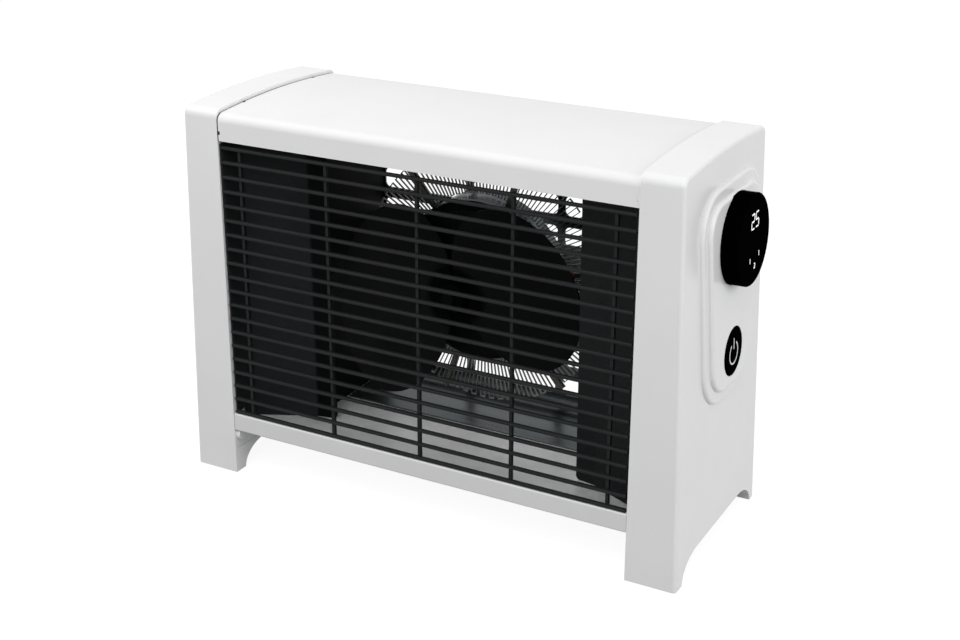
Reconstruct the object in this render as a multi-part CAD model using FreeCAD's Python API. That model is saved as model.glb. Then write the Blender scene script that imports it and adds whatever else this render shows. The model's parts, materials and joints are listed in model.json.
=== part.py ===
import FreeCAD, Part

import math
import os

from FreeCAD import Placement, Rotation, Vector

# A portable fan heater: two moulded end panels carry a folded steel body, a barred front grille,
# a two-winged fan, a zig-zag heating ribbon and a control boss with a dial and a power button.
# Sizes are in millimetres. X runs along the front, Y from front to back, Z up from the floor.
# Shapes are drawn about the middle of the casing and moved to the middle of the envelope when written.

# Casing as a whole
case_width = 371.0          # over both end panels at the floor
case_depth = 144.3          # over an end panel at the floor
case_height = 269.0         # crown of the end panels
side_draft = 1.55           # degrees that the outer sides lean in
front_lean = 0.62           # degrees that the front and the back lean in
crown_radius = 700.0        # shallow dome along the top
fit_gap = 0.3               # between neighbouring casing pieces
run_gap = 0.05              # radial, for a shaft or stem that moves in its hole

# End panels
end_width = 34.5
end_wall = 2.6
edge_radius = 6.0           # along the top corners of the casing
side_radius = 2.5           # round the outer side of an end panel
foot_front = 10.6
foot_rear = 8.0
arch_height = 16.0
arch_reach = 25.0
cheek_thickness = 2.0
pad_length = 5.6
pad_width = 22.0
pad_thickness = 1.5
pad_proud = 0.5
pad_fit = 0.1
peg_radius = 3.6            # on the left cheek, under the sill
peg_length = 3.2
peg_setback = 5.0
peg_drop = 4.1

# Sheet metal body
sheet = 1.0
fold_radius = 1.2
cover_drop = 2.3            # the cover lies this far below the end panels
cover_gap = 0.9             # open seam between the cover and an end panel
notch_length = 2.6          # clip notches in the ends of the cover
notch_depth = 1.3
notch_y = 40.5
notch_reach = 6.0           # how far back the notch in the fascia is cut
notch_drop = 18.4           # of the notch in the fascia, below the crown of the end panels
fascia_drop = 23.7          # from the crown of the end panels to the foot of the fascia
fascia_return = 9.0
pan_top = 35.7
pan_front_flange = 8.0
pan_rear_flange = 11.0
sill_bottom = 33.5
sill_top = 46.85
sill_bend = 0.3
sill_top_return = 4.6
sill_bottom_return = 12.0
sill_setback = 0.4

# Rear panel with its air slots
rear_inset = 4.35           # outer face, in from the back of the end panels at the floor
rear_top_drop = 12.5
slot_rows = 9
slot_columns = 3
slot_width = 67.5
slot_height = 14.5
slot_corner = 4.0
slot_web = 5.7
tongue_reach = 57.0         # forward over the floor pan, from the rear face
tongue_bend = 8.0
slot_margin_bottom = 18.8   # from the floor pan to the middle of the lowest slots
slot_margin_top = 20.4
rear_screw_count = 3        # down each side
rear_screw_radius = 3.2
rear_screw_height = 1.7
rear_screw_bevel = 0.9
rear_screw_inset = 13.0
rear_screw_low = 41.0
rear_screw_high = 20.4

# Front grille
bar_count = 20
bar_gap_bottom = 1.45       # from the sill to the middle of the lowest bar
bar_gap_top = 4.8
bar_height = 2.3
bar_depth = 2.6
bar_flat_share = 0.45       # share of the bar's depth with flat sides, before its round front
grille_setback = 0.4
upright_count = 5
upright_inset = 15.0        # from the end panel to the middle of the outer upright
upright_width = 2.0
upright_depth = 2.2
upright_overlap = 1.0       # how far an upright reaches past the middle of the end bars
weld_depth = 0.5

# Baffles and chamber walls beside the fan
baffle_foot = 0.3
baffle_top_gap = 2.3
baffle_setback = 25.95
baffle_bend_y = -27.2
baffle_lip = 14.5
baffle_lip_back = 2.6
baffle_lip_round = 3.0
baffle_return_setback = 3.65    # front edge of the return along the end panel, behind the casing's front
wall_x = 108.4
wall_front = -24.0
wall_top_drop = 13.0
wall_flange = 6.0

# Fan, turning about an axis along Y
fan_rise = 6.5              # above the middle of the front opening
fan_turn = 7.0              # degrees that the right wing points above level
wing_centre_u = 47.0
wing_centre_w = 4.5
wing_half_u = 45.0
wing_half_w = 61.5
wing_sheet = 1.4
wing_edge_deep = 15.5       # how far back the leading edge lies from the hub's middle
wing_edge_near = -20.0
wing_camber = 2.5
hub_radius = 11.0
hub_nose = 3.0
hub_front = -28.0
hub_back = -10.0
hub_middle = -20.0
clip_radius = 5.0
clip_height = 2.4
clip_skin = 1.0
clip_bevel = 0.9

# Motor
shaft_radius = 3.0
motor_radius = 36.0
motor_front = 6.4
motor_back = 54.6
motor_cap = 11.6
motor_wall = 2.0
motor_edge = 3.0
stator_bore = 18.4
rotor_gap = 0.4
winding_inner = 21.5
winding_outer = 31.0
winding_height = 5.5
winding_bevel = 1.6
bush_radius = 6.0
bush_length = 7.0
bush_wall = 2.5
strap_front = 55.0
strap_height = 40.0
strap_leg = 14.0
strap_screw_x = 25.0
strap_screw_radius = 3.4
strap_screw_height = 2.2

# Shield and heating element around the motor
shield_radius = 56.6
shield_front = 4.8
shield_depth = 25.0
shield_edge = 5.0
ring_fit = 0.3
ring_sheet = 1.0
ring_front = 10.5
ring_length = 22.5
mica = 1.0
mica_front = 19.4
mica_gap = 2.0              # clear depth between the front and the rear arms
mica_outer_radius = 94.6
mica_arms = 6
mica_arm_width = 3.4
mica_arm_turn = 10.6
ribbon_waves = 80
ribbon_inner = 59.6
ribbon_outer = 91.6
ribbon_thickness = 0.6
ribbon_depth = 1.4
post_radius = 0.8
post_inset = 1.2            # from the outer end of an arm
cutout_radius = 6.0
cutout_cap_radius = 4.2
cutout_height = 6.0
cutout_circle = 65.0

# Control boss on the right side, drawn on the leaning side with local X pointing outwards
boss_y = 6.65
boss_top_drop = 22.0        # below the crown of the end panels
boss_below_button = 30.6
boss_half_top = 54.0
boss_half_bottom = 40.5
boss_corner_top = 27.0
boss_corner_bottom = 32.0
boss_step = 2.3
boss_height = 4.7
boss_step_in = 8.0
boss_soft = 2.2
dial_drop = 59.2            # below the crown of the end panels
dial_radius = 29.2
dial_length = 10.8
dial_wall = 3.0
dial_soft = 1.2
dial_sink = 0.8
dial_float = 0.4
dial_rib = 2.5
pod_neck = 22.0
pod_wall = 1.6
pod_floor = 1.5
pod_tail = -7.2
lens_thickness = 1.0
lens_setback = 0.2
display_board_thickness = 1.2
nut_radius = 27.0
nut_height = 3.6
button_drop = 75.2          # below the dial
button_radius = 16.0
button_proud = 0.3
button_thickness = 2.2
button_soft = 0.8
button_travel = 1.5
button_floor = 1.1
stem_radius = 3.0
stem_end = -7.0
stem_hole = 4.5
switch_size = 15.0
switch_chamfer = 1.2
board_front = -20.0
board_thickness = 1.6
board_half_width = 36.0
board_above_boss = 13.5
board_below_boss = 9.5
board_corner = 4.0
board_post = 3.2
board_post_inset = 7.0
relay_width = 16.0
relay_length = 20.0
relay_height = 9.0
relay_soft = 1.0
relay_spacing = 24.0
relay_drop = 8.2            # below the middle between the dial and the button

# Mains side inside the right and left compartments
gland_rise = 26.3           # above the floor pan
gland_flange = 11.0
gland_flange_height = 2.6
gland_bevel = 1.0
gland_body = 7.0
gland_bore = 3.8
gland_inside = 9.0
gland_nut_height = 4.0
gland_nut_radius = 11.5
block_width = 16.0
block_depth = 26.0
block_height = 15.0
block_ways = 3
block_groove = 2.0
block_rear_gap = 11.8
tip_width = 16.0
tip_depth = 24.0
tip_height = 18.0
tip_well = 5.0
tip_floor = 6.0
tip_soft = 1.5
tip_y = 10.0

# Places that follow from the sizes above
axis_y = Vector(0, 1, 0)
half_width = case_width / 2
inner_x = half_width - end_width
body_x = inner_x - fit_gap
pan_bottom = pan_top - sheet
fascia_bottom = case_height - fascia_drop
rear_face = case_depth / 2 - rear_inset
rear_top = case_height - rear_top_drop
slot_first = pan_top + slot_margin_bottom
slot_pitch = (rear_top - slot_margin_top - slot_first) / (slot_rows - 1)
bar_lowest = sill_top + bar_gap_bottom
bar_end_x = body_x - sheet - fit_gap
bar_pitch = (fascia_bottom - bar_gap_top - bar_lowest) / (bar_count - 1)
upright_pitch = 2 * (inner_x - upright_inset) / (upright_count - 1)
wall_top = case_height - wall_top_drop
baffle_top = fascia_bottom - baffle_top_gap
baffle_outer_y = baffle_setback - case_depth / 2
baffle_return_y = baffle_return_setback - case_depth / 2
baffle_bend_x = wall_x + sheet
baffle_lip_x = baffle_bend_x - baffle_lip
baffle_lip_y = baffle_bend_y + baffle_lip_back
post_circle = mica_outer_radius - post_inset
fan_axis_z = (pan_top + fascia_bottom) / 2 + fan_rise
boss_top = case_height - boss_top_drop
dial_z = case_height - dial_drop
button_z = dial_z - button_drop
boss_bottom = button_z - boss_below_button
board_bottom = boss_bottom + board_above_boss
board_top = boss_top - board_below_boss
relay_z = (dial_z + button_z) / 2 - relay_drop
gland_x = (wall_x + sheet + inner_x) / 2
gland_z = pan_top + gland_rise
device_x = (wall_x + wall_flange + inner_x) / 2
block_y = rear_face - block_rear_gap - block_depth
control_frame = Placement(Vector(half_width, 0, 0), Rotation(Vector(0, 1, 0), -side_draft))


def front_at(height):
    """Y of the leaning front at a height; the back mirrors it."""
    return -case_depth / 2 + height * math.tan(math.radians(front_lean))


def box(x0, x1, y0, y1, z0, z1):
    return Part.makeBox(x1 - x0, y1 - y0, z1 - z0, Vector(x0, y0, z0))


def face_of(points):
    return Part.Face(Part.makePolygon(points + [points[0]]))


def rod(radius, y0, y1, x=0.0, z=fan_axis_z):
    """Round rod along Y, on the fan axis unless placed."""
    return Part.makeCylinder(radius, y1 - y0, Vector(x, y0, z), axis_y)


def tube(inner, outer, y0, y1, x=0.0, z=fan_axis_z):
    return rod(outer, y0, y1, x, z).cut(rod(inner, y0 - 1, y1 + 1, x, z))


def local_rod(radius, x0, x1, y, z):
    """Round rod along the outward axis of the control boss."""
    return Part.makeCylinder(radius, x1 - x0, Vector(x0, y, z), Vector(1, 0, 0))


def on_boss(shape):
    """Moves a shape drawn flat on the side to the leaning side of the casing."""
    moved = shape.copy()
    moved.Placement = control_frame.multiply(moved.Placement)
    return moved


def left_of(shape):
    return shape.mirror(Vector(0, 0, 0), Vector(1, 0, 0))


def edges_where(shape, test):
    return [edge for edge in shape.Edges if test(edge)]


def rounded_path(points, radius):
    """Edges along the points with every inner corner rounded to the radius."""
    edges = []
    start = points[0]
    for before, corner, after in zip(points, points[1:], points[2:]):
        back = (before - corner).normalize()
        ahead = (after - corner).normalize()
        half = back.getAngle(ahead) / 2
        bisector = (back + ahead).normalize()
        first = corner + back * (radius / math.tan(half))
        last = corner + ahead * (radius / math.tan(half))
        middle = corner + bisector * (radius / math.sin(half) - radius)
        edges.append(Part.LineSegment(start, first).toShape())
        edges.append(Part.Arc(first, middle, last).toShape())
        start = last
    edges.append(Part.LineSegment(start, points[-1]).toShape())
    return edges


def folded_sheet(points, sweep, side, bend=fold_radius):
    """Sheet folded along the points and drawn out by the sweep; side +1 or -1 picks the inner side."""
    path = Part.Wire(rounded_path(points, bend + sheet))
    return path.makeOffset2D(side * sheet, 0, True, True).extrude(sweep)


def runs_along_y(edge):
    return edge.BoundBox.YLength > 0.5 and edge.BoundBox.XLength + edge.BoundBox.ZLength < 1e-6


def runs_along_x(edge):
    return edge.BoundBox.XLength > 0.5 and edge.BoundBox.YLength + edge.BoundBox.ZLength < 1e-6


def domed_block(x0, x1, top_inset, face_inset, bottom):
    """Block between the leaning front and back, with a domed top and rounded top corners."""
    crown = case_height - top_inset
    reach = -front_at(crown) - face_inset
    shoulder = crown - (crown_radius - math.sqrt(crown_radius ** 2 - reach ** 2))
    low_front = Vector(x0, front_at(bottom) + face_inset, bottom)
    low_back = Vector(x0, -low_front.y, bottom)
    top_front = Vector(x0, front_at(shoulder) + face_inset, shoulder)
    top_back = Vector(x0, -top_front.y, shoulder)
    dome = Part.Arc(top_front, Vector(x0, 0, crown), top_back).toShape()
    sides = [(low_back, low_front), (low_front, top_front), (top_back, low_back)]
    lines = [Part.LineSegment(a, b).toShape() for a, b in sides]
    block = Part.Face(Part.Wire(Part.__sortEdges__([dome] + lines))).extrude(Vector(x1 - x0, 0, 0))
    corners = edges_where(block, lambda e: runs_along_x(e) and e.BoundBox.ZMin > shoulder - 1)
    return block.makeFillet(max(edge_radius - face_inset, 1.0), corners)


def leaning_cut(inset):
    """Everything inside the leaning outer side, less an inset."""
    high = 2 * case_height
    low_x = half_width - inset
    high_x = low_x - high * math.tan(math.radians(side_draft))
    outline = [Vector(0, -case_depth, 0), Vector(low_x, -case_depth, 0),
               Vector(high_x, -case_depth, high), Vector(0, -case_depth, high)]
    return face_of(outline).extrude(Vector(0, 2 * case_depth, 0))


def soft_sided(block, radius):
    """Rounds the upright and the top edges of an end panel's outer side."""
    def on_side(edge):
        lean = math.tan(math.radians(side_draft))
        ends = [v.Point for v in edge.Vertexes]
        offsets = [p.x + lean * p.z for p in ends]
        far = max(v.Point.x + lean * v.Point.z for v in block.Vertexes)
        bottom = block.BoundBox.ZMin
        level = all(p.z < bottom + 0.01 for p in ends)
        return all(abs(o - far) < 0.01 for o in offsets) and not level
    return block.makeFillet(radius, edges_where(block, on_side))


def arch_tool():
    """The opening between the feet, with a quarter ellipse at each foot."""
    front = -case_depth / 2 + foot_front
    back = case_depth / 2 - foot_rear
    x = inner_x - end_width / 2
    edges = []
    for foot, inward in ((front, 1), (back, -1)):
        centre = Vector(x, foot + inward * arch_reach, 0)
        foot_end = Vector(x, foot, 0)
        ellipse = Part.Ellipse(foot_end, centre + Vector(0, 0, arch_height), centre)
        edges.append(Part.ArcOfEllipse(ellipse, 0, math.pi / 2).toShape())
    low = [edge.Vertexes[0].Point for edge in edges]
    high = [edge.Vertexes[1].Point for edge in edges]
    edges.append(Part.LineSegment(high[0], high[1]).toShape())
    drop = Vector(0, 0, -arch_height)
    edges += [Part.LineSegment(a, b).toShape() for a, b in
              ((low[0], low[0] + drop), (low[0] + drop, low[1] + drop), (low[1] + drop, low[1]))]
    return Part.Face(Part.Wire(Part.__sortEdges__(edges))).extrude(Vector(2 * end_width, 0, 0))


def foot_pads(x_middle, grow):
    """Rubber strips under the two feet of one end, or their pockets when grown."""
    pads = []
    for y in (-case_depth / 2 + foot_front / 2, case_depth / 2 - foot_rear / 2):
        pads.append(box(x_middle - pad_width / 2 - grow, x_middle + pad_width / 2 + grow,
                        y - pad_length / 2 - grow, y + pad_length / 2 + grow, 0, pad_thickness + grow))
    return pads


def end_shell():
    """Hollow right end panel with feet, open to the inside."""
    block = domed_block(inner_x, half_width, 0, 0, pad_proud).common(leaning_cut(0))
    block = soft_sided(block, side_radius).cut(arch_tool())
    hollow = domed_block(inner_x - 1, half_width, end_wall, end_wall, arch_height + end_wall)
    shell = block.cut(hollow.common(leaning_cut(end_wall)))
    for pocket in foot_pads(inner_x + end_width / 2, pad_fit):
        shell = shell.cut(pocket)
    return shell


def board_post_places():
    for y in (boss_y - board_half_width + board_post_inset, boss_y + board_half_width - board_post_inset):
        for z in (board_bottom + board_post_inset, board_top - board_post_inset):
            yield y, z


def right_end_panel():
    """The end panel with the holes behind the boss and the posts that carry the control board."""
    shell = end_shell()
    reach = 2 * end_wall
    holes = [local_rod(pod_neck + fit_gap, -reach, 1, boss_y, dial_z),
             local_rod(stem_hole, -reach, 1, boss_y, button_z)]
    posts = [local_rod(board_post, board_front, -end_wall / 2, y, z) for y, z in board_post_places()]
    shell = shell.fuse([on_boss(post) for post in posts])
    return shell.cut([on_boss(hole) for hole in holes])


def cheek_plate():
    """Plate that closes the inner side of an end panel, flush with its rim."""
    inset = end_wall + fit_gap
    return domed_block(inner_x, inner_x + cheek_thickness, inset, inset, arch_height + inset)


def left_cheek():
    """The left-hand plate, with a peg under the sill."""
    height = sill_bottom - peg_drop
    peg = local_rod(peg_radius, inner_x - peg_length, inner_x, peg_setback - case_depth / 2, height)
    return left_of(cheek_plate().fuse(peg))


def top_cover():
    """Domed sheet cover with a front fascia, its return fold and a rear flange."""
    end = inner_x - cover_gap
    outer = domed_block(-end, end, cover_drop, 0, fascia_bottom)
    inner = domed_block(-end - 1, end + 1, cover_drop + sheet, sheet, fascia_bottom + sheet)
    mouth_front = front_at(fascia_bottom) + fascia_return
    mouth_back = -front_at(fascia_bottom) - sheet
    mouth = box(-end - 1, end + 1, mouth_front, mouth_back, fascia_bottom - 1, fascia_bottom + 2 * sheet)
    return outer.cut([inner, mouth] + cover_notches(end))


def cover_notches(end):
    """Small notches for the clips in both ends of the cover: two on top and one in the fascia."""
    half = notch_length / 2
    low = case_height - notch_drop
    notches = []
    for x0, x1 in ((-end - 1, notch_depth - end), (end - notch_depth, end + 1)):
        for y in (-notch_y, notch_y):
            notches.append(box(x0, x1, y - half, y + half, low, case_height))
        notches.append(box(x0, x1, -case_depth, notch_reach - case_depth / 2, low - half, low + half))
    return notches


def front_sill():
    """White strip folded under the grille and under the floor pan."""
    face = front_at(sill_bottom) + sill_setback
    points = [Vector(-body_x, face + sill_top_return, sill_top), Vector(-body_x, face, sill_top),
              Vector(-body_x, face, sill_bottom), Vector(-body_x, face + sill_bottom_return, sill_bottom)]
    return folded_sheet(points, Vector(2 * body_x, 0, 0), sheet_side(points), sill_bend)


def base_pan():
    """Galvanised floor with upturned front and rear flanges."""
    front = front_at(sill_bottom) + sill_setback + sheet + fit_gap
    back = rear_face + fit_gap + sheet
    points = [Vector(-body_x, front, pan_bottom + pan_front_flange), Vector(-body_x, front, pan_bottom),
              Vector(-body_x, back, pan_bottom), Vector(-body_x, back, pan_bottom + pan_rear_flange)]
    return folded_sheet(points, Vector(2 * body_x, 0, 0), sheet_side(points))


def sheet_side(points):
    """Which side of the path its folds close on, as the sign that the sheet offset takes."""
    path = Part.Wire(rounded_path(points, fold_radius + sheet))
    grown = path.makeOffset2D(sheet, 0, False, True)
    return -1 if grown.BoundBox.DiagonalLength > path.BoundBox.DiagonalLength + 1e-6 else 1


def slot_places():
    for column in range(slot_columns):
        for row in range(slot_rows):
            yield (column - (slot_columns - 1) / 2) * (slot_width + slot_web), slot_first + row * slot_pitch


def rear_panel():
    """Rear sheet with three columns of air slots, a gland hole and a tongue on the floor pan."""
    inside = rear_face - sheet
    foot = pan_top + fold_radius
    panel = box(-body_x, body_x, inside, rear_face, foot, rear_top)
    half = wall_x - fit_gap
    root = pan_top + tongue_bend + 2 * sheet
    path = [Vector(-half, rear_face - tongue_reach, pan_top), Vector(-half, rear_face, pan_top),
            Vector(-half, rear_face, root)]
    tongue = folded_sheet(path, Vector(2 * half, 0, 0), sheet_side(path), tongue_bend)
    panel = panel.cut(box(-half, half, inside - 1, rear_face + 1, foot - 1, root))
    panel = panel.fuse(tongue).removeSplitter()
    slots = []
    for x, z in slot_places():
        slot = box(x - slot_width / 2, x + slot_width / 2, inside - 1, rear_face + 1,
                   z - slot_height / 2, z + slot_height / 2)
        slots.append(slot.makeFillet(slot_corner, edges_where(slot, runs_along_y)))
    slots.append(rod(gland_body + fit_gap, inside - 1, rear_face + 1, gland_x, gland_z))
    return panel.cut(slots)


def rear_screws():
    """Bevelled screw heads down both sides of the rear panel."""
    heads = []
    low = pan_top + rear_screw_low
    step = (rear_top - rear_screw_high - low) / (rear_screw_count - 1)
    for x in (rear_screw_inset - inner_x, inner_x - rear_screw_inset):
        for i in range(rear_screw_count):
            head = rod(rear_screw_radius, rear_face, rear_face + rear_screw_height, x, low + i * step)
            rim = edges_where(head, lambda e: e.BoundBox.YMin > rear_face + rear_screw_height - 0.01)
            heads.append(head.makeChamfer(rear_screw_bevel, rim))
    return Part.makeCompound(heads)


def bar_section(x, back, z):
    """Outline of a bar: a flat back, short flat sides and a round front."""
    low = Vector(x, back, z - bar_height / 2)
    high = Vector(x, back, z + bar_height / 2)
    nose = Vector(0, -bar_depth, 0)
    side = nose * bar_flat_share
    return Part.Wire([Part.LineSegment(low, high).toShape(),
                      Part.LineSegment(high, high + side).toShape(),
                      Part.Arc(high + side, Vector(x, back, z) + nose, low + side).toShape(),
                      Part.LineSegment(low + side, low).toShape()])


def bar_back(z):
    """Y of the flat back of a bar at a height; the grille leans with the front of the casing."""
    return front_at(z) + grille_setback + bar_depth


def grille_bar(z):
    """Half-round bar across the front from one end panel to the other."""
    section = Part.Face(bar_section(-bar_end_x, bar_back(z), z))
    return section.extrude(Vector(2 * bar_end_x, 0, 0))


def grille_upright(x):
    """Flat strip that leans behind the bars and joins them."""
    low = bar_lowest - upright_overlap
    high = bar_lowest + (bar_count - 1) * bar_pitch + upright_overlap
    side = x - upright_width / 2
    outline = [Vector(side, bar_back(low) - weld_depth, low),
               Vector(side, bar_back(low) + upright_depth, low),
               Vector(side, bar_back(high) + upright_depth, high),
               Vector(side, bar_back(high) - weld_depth, high)]
    return face_of(outline).extrude(Vector(upright_width, 0, 0))


def front_grille():
    """Level bars welded to five uprights that stand behind them."""
    bars = [grille_bar(bar_lowest + i * bar_pitch) for i in range(bar_count)]
    uprights = [grille_upright((i - (upright_count - 1) / 2) * upright_pitch) for i in range(upright_count)]
    return uprights[0].fuse(uprights[1:] + bars).removeSplitter()


def baffle():
    """Right-hand slanted plate that leads air to the fan, with a return along the cheek."""
    foot = pan_top + baffle_foot
    points = [Vector(body_x, baffle_return_y, foot), Vector(body_x, baffle_outer_y, foot),
              Vector(baffle_bend_x, baffle_bend_y, foot), Vector(baffle_lip_x, baffle_lip_y, foot)]
    plate = folded_sheet(points, Vector(0, 0, baffle_top - foot), sheet_side(points))

    def at_lip(edge):
        return edge.BoundBox.XMax < baffle_lip_x + sheet and edge.BoundBox.ZMax < foot + 0.01
    plate = plate.makeFillet(baffle_lip_round, edges_where(plate, at_lip))
    sill_back = front_at(sill_bottom) + sill_setback + sill_bottom_return
    notch = box(body_x - 2 * sheet, inner_x, -case_depth, sill_back + fit_gap, foot - 1, sill_top + fit_gap)
    return plate.cut(notch)


def chamber_wall():
    """Right-hand wall of the fan chamber with a flange on the floor."""
    foot = pan_top + fit_gap
    points = [Vector(wall_x + wall_flange, wall_front, foot), Vector(wall_x, wall_front, foot),
              Vector(wall_x, wall_front, wall_top)]
    depth = rear_face - sheet - fit_gap - wall_front
    return folded_sheet(points, Vector(0, depth, 0), sheet_side(points))


def wing_sheet_solid():
    """Cambered sheet along a wing: an arc across the wing drawn out from the hub."""
    low_w = wing_centre_w - wing_half_w - 1
    high_w = wing_centre_w + wing_half_w + 1
    chord_middle = (wing_edge_deep + wing_edge_near) / 2
    ends = [Vector(0, wing_edge_deep, low_w), Vector(0, chord_middle + wing_camber, (low_w + high_w) / 2),
            Vector(0, wing_edge_near, high_w)]
    front = Part.Arc(*ends).toShape()
    back = front.copy()
    back.translate(Vector(0, wing_sheet, 0))
    caps = [Part.LineSegment(p, p + Vector(0, wing_sheet, 0)).toShape() for p in (ends[0], ends[2])]
    section = Part.Face(Part.Wire(Part.__sortEdges__([front, back] + caps)))
    return section.extrude(Vector(wing_centre_u + wing_half_u + 1, 0, 0))


def wing():
    """One broad elliptical wing, pointing along X from the hub."""
    centre = Vector(wing_centre_u, -case_depth, wing_centre_w)
    ellipse = Part.Ellipse(centre + Vector(0, 0, wing_half_w), centre + Vector(wing_half_u, 0, 0), centre)
    outline = Part.Face(Part.Wire([ellipse.toShape()])).extrude(Vector(0, 2 * case_depth, 0))
    return wing_sheet_solid().common(outline)


def fan():
    """Two opposite wings moulded on a round-nosed hub that is bored for the shaft."""
    hub = Part.makeCylinder(hub_radius, hub_back - hub_front, Vector(0, hub_front, 0), axis_y)
    nose = edges_where(hub, lambda e: e.BoundBox.YMax < hub_front + 0.01)
    hub = hub.makeFillet(hub_nose, nose)
    first = wing()
    first.translate(Vector(0, hub_middle, 0))
    second = first.copy()
    second.rotate(Vector(0, 0, 0), axis_y, 180)
    blade = hub.fuse([first, second])
    bore = Part.makeCylinder(shaft_radius + run_gap / 2, 2 * case_depth, Vector(0, -case_depth, 0), axis_y)
    blade = blade.cut(bore)
    blade.rotate(Vector(0, 0, 0), axis_y, -fan_turn)
    blade.translate(Vector(0, 0, fan_axis_z))
    return blade


def fan_clip():
    """Push-on cap that keeps the fan on its shaft."""
    front = hub_front - fit_gap - clip_height
    cap = rod(clip_radius, front, front + clip_height)
    rim = edges_where(cap, lambda e: e.BoundBox.YMax < front + 0.01)
    socket = rod(shaft_radius + run_gap / 2, front + clip_skin, front + 2 * clip_height)
    return cap.makeChamfer(clip_bevel, rim).cut(socket)


def motor_shaft():
    front = hub_front - fit_gap - clip_height + clip_skin + run_gap
    return rod(shaft_radius, front, motor_back - motor_wall - fit_gap)


def bush(y0):
    return tube(shaft_radius + run_gap, bush_radius, y0, y0 + bush_length)


def motor_cap_front():
    """Die-cast bell that holds the front bush and half of the stator."""
    wall_end = motor_front + motor_cap
    bell = rod(motor_radius, motor_front, wall_end)
    rim = edges_where(bell, lambda e: e.BoundBox.YMax < motor_front + 0.01)
    bell = bell.makeChamfer(motor_edge, rim)
    bell = bell.cut(rod(motor_radius - motor_wall, motor_front + motor_wall, wall_end + 1))
    boss = rod(bush_radius + bush_wall, motor_front, motor_front + bush_length)
    return bell.fuse(boss).cut(rod(bush_radius + run_gap / 2, motor_front - 1, wall_end))


def motor_cap_rear():
    """The same bell turned round to close the back of the motor."""
    bell = motor_cap_front()
    middle = (motor_front + motor_back) / 2
    return bell.mirror(Vector(0, middle, 0), axis_y)


def stator():
    start = motor_front + motor_cap
    return tube(stator_bore, motor_radius, start, motor_back - motor_cap)


def windings():
    """Coil heads at both ends of the stator, as two bevelled rings."""
    rings = []
    for y0 in (motor_front + motor_cap - winding_height, motor_back - motor_cap):
        ring = tube(winding_inner, winding_outer, y0, y0 + winding_height)
        rings.append(ring.makeChamfer(winding_bevel, edges_where(ring, is_circle)))
    return Part.makeCompound(rings)


def is_circle(edge):
    return edge.BoundBox.XLength > 1 and edge.BoundBox.ZLength > 1


def rotor():
    start = motor_front + motor_cap
    return tube(shaft_radius + run_gap / 2, stator_bore - rotor_gap, start, motor_back - motor_cap)


def motor_strap():
    """Folded strap between the chamber walls that carries the motor from behind."""
    end = wall_x - fit_gap
    back = strap_front + sheet
    low = fan_axis_z - strap_height / 2
    points = [Vector(-end, back - strap_leg, low), Vector(-end, back, low),
              Vector(end, back, low), Vector(end, back - strap_leg, low)]
    strap = folded_sheet(points, Vector(0, 0, strap_height), sheet_side(points))
    return strap.cut(rod(bush_radius + bush_wall, strap_front - 1, back + 1))


def strap_screws():
    heads = []
    for x in (-strap_screw_x, strap_screw_x):
        start = strap_front + sheet
        heads.append(rod(strap_screw_radius, start, start + strap_screw_height, x))
    return Part.makeCompound(heads)


def motor_shield():
    """Deep round cup in front of the motor that keeps its bearings cool."""
    cup = rod(shield_radius, shield_front, shield_front + shield_depth)
    rim = edges_where(cup, lambda e: e.BoundBox.YMax < shield_front + 0.01)
    cup = cup.makeChamfer(shield_edge, rim)
    room = rod(shield_radius - sheet, shield_front + sheet, shield_front + shield_depth + 1)
    edge = edges_where(room, lambda e: e.BoundBox.YMax < shield_front + sheet + 0.01)
    room = room.makeChamfer(shield_edge, edge)
    return cup.cut(room).cut(rod(bush_radius + bush_wall, shield_front - 1, motor_front))


def element_band():
    """Steel band round the shield that carries the element."""
    inner = shield_radius + ring_fit
    return tube(inner, inner + ring_sheet, ring_front, ring_front + ring_length)


def mica_arms_at(front):
    """Insulating arms that stand out from the steel band like spokes and hold the ribbon."""
    inner = shield_radius + 2 * ring_fit + ring_sheet
    arms = []
    for i in range(mica_arms):
        arm = box(inner, mica_outer_radius, front, front + mica,
                  fan_axis_z - mica_arm_width / 2, fan_axis_z + mica_arm_width / 2)
        arm.rotate(Vector(0, 0, fan_axis_z), axis_y, -mica_arm_turn - i * 360 / mica_arms)
        arms.append(arm)
    return Part.makeCompound(arms)


def ribbon_line():
    """Middle line of the ribbon, up one leg and down the next, all the way round."""
    legs = 2 * ribbon_waves
    for i in range(legs):
        turn = math.radians(mica_arm_turn) + 2 * math.pi * (i + 0.5) / legs
        radii = (ribbon_inner, ribbon_outer) if i % 2 == 0 else (ribbon_outer, ribbon_inner)
        for radius in radii:
            yield Vector(radius * math.cos(turn), 0, fan_axis_z + radius * math.sin(turn))


def offset_line(points, distance):
    """Points moved sideways by a distance, square to the path, with mitred corners."""
    moved = []
    for i, point in enumerate(points):
        back = (point - points[i - 1]).normalize() if i else None
        ahead = (points[i + 1] - point).normalize() if i + 1 < len(points) else None
        first = back or ahead
        second = ahead or back
        tangent = (first + second).normalize()
        normal = Vector(-tangent.z, 0, tangent.x)
        stretch = normal.dot(Vector(-second.z, 0, second.x))
        moved.append(point + normal * (distance / stretch))
    return moved


def heating_ribbon():
    """One unbroken zig-zag ribbon standing on edge between the front and the rear mica arms."""
    line = list(ribbon_line())
    one_side = offset_line(line, ribbon_thickness / 2)
    other_side = offset_line(line, -ribbon_thickness / 2)
    legs = [line[i:i + 2] for i in range(0, len(line), 2)]
    gaps = [min((a - b).Length for a in this for b in after) for this, after in zip(legs, legs[1:])]
    print("heating ribbon: least gap to itself %.2f mm" % (min(gaps) - ribbon_thickness))
    ribbon = face_of(one_side + other_side[::-1]).extrude(Vector(0, ribbon_depth, 0))
    ribbon.translate(Vector(0, mica_front + mica + (mica_gap - ribbon_depth) / 2, 0))
    return ribbon


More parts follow.
